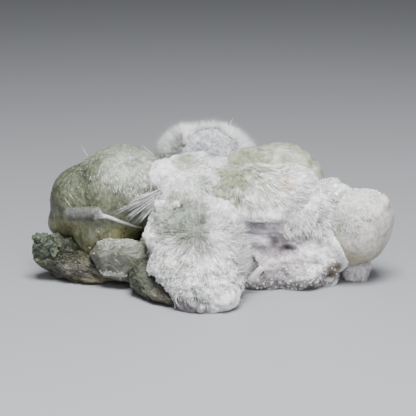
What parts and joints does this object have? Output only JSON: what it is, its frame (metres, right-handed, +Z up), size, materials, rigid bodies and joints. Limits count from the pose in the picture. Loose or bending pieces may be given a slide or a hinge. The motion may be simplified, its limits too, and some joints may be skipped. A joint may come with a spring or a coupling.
{
  "type": "okenite puffball mineral specimen",
  "caption": "Loose mineral specimen: fuzzy white okenite puffball and broken radiating okenite among pale green globes on grey-brown rock.",
  "frame": {"origin": "middle of the bounding box in plan, at the surface that the specimen rests on", "axes": "+X along the specimen's length towards the single globe at its end, +Z up, -Y towards the show side with the broken ball"},
  "size_m": [0.0897, 0.0586, 0.0385],
  "materials": {
    "green_globe": "translucent waxy, fine needle streaks",
    "cream_globe": "translucent waxy, cream to green",
    "okenite_fuzz": "soft fine fibres",
    "okenite_rays": "silky radiating fibres",
    "okenite_wool": "matted fine fibres",
    "grey_wool": "felted fibres",
    "grey_crystal": "cloudy translucent",
    "white_crystal": "clear to milky",
    "mint_crystal": "sugary glassy",
    "rock": "rough, crusted"
  },
  "bodies": {
    "root": {"left_globe": "green_globe", "right_globe": "green_globe", "end_globe": "cream_globe", "puffball": "okenite_fuzz", "prism_crystal": "white_crystal", "wool_roll": "grey_wool", "broken_ball": "okenite_rays", "ray_fan": "okenite_rays", "cushions": "okenite_wool", "grey_crystal": "grey_crystal", "mint_crystals": "mint_crystal", "foot_tuft": "okenite_wool", "wool_drift": "okenite_wool", "rock": "rock"}
  },
  "joints": []
}
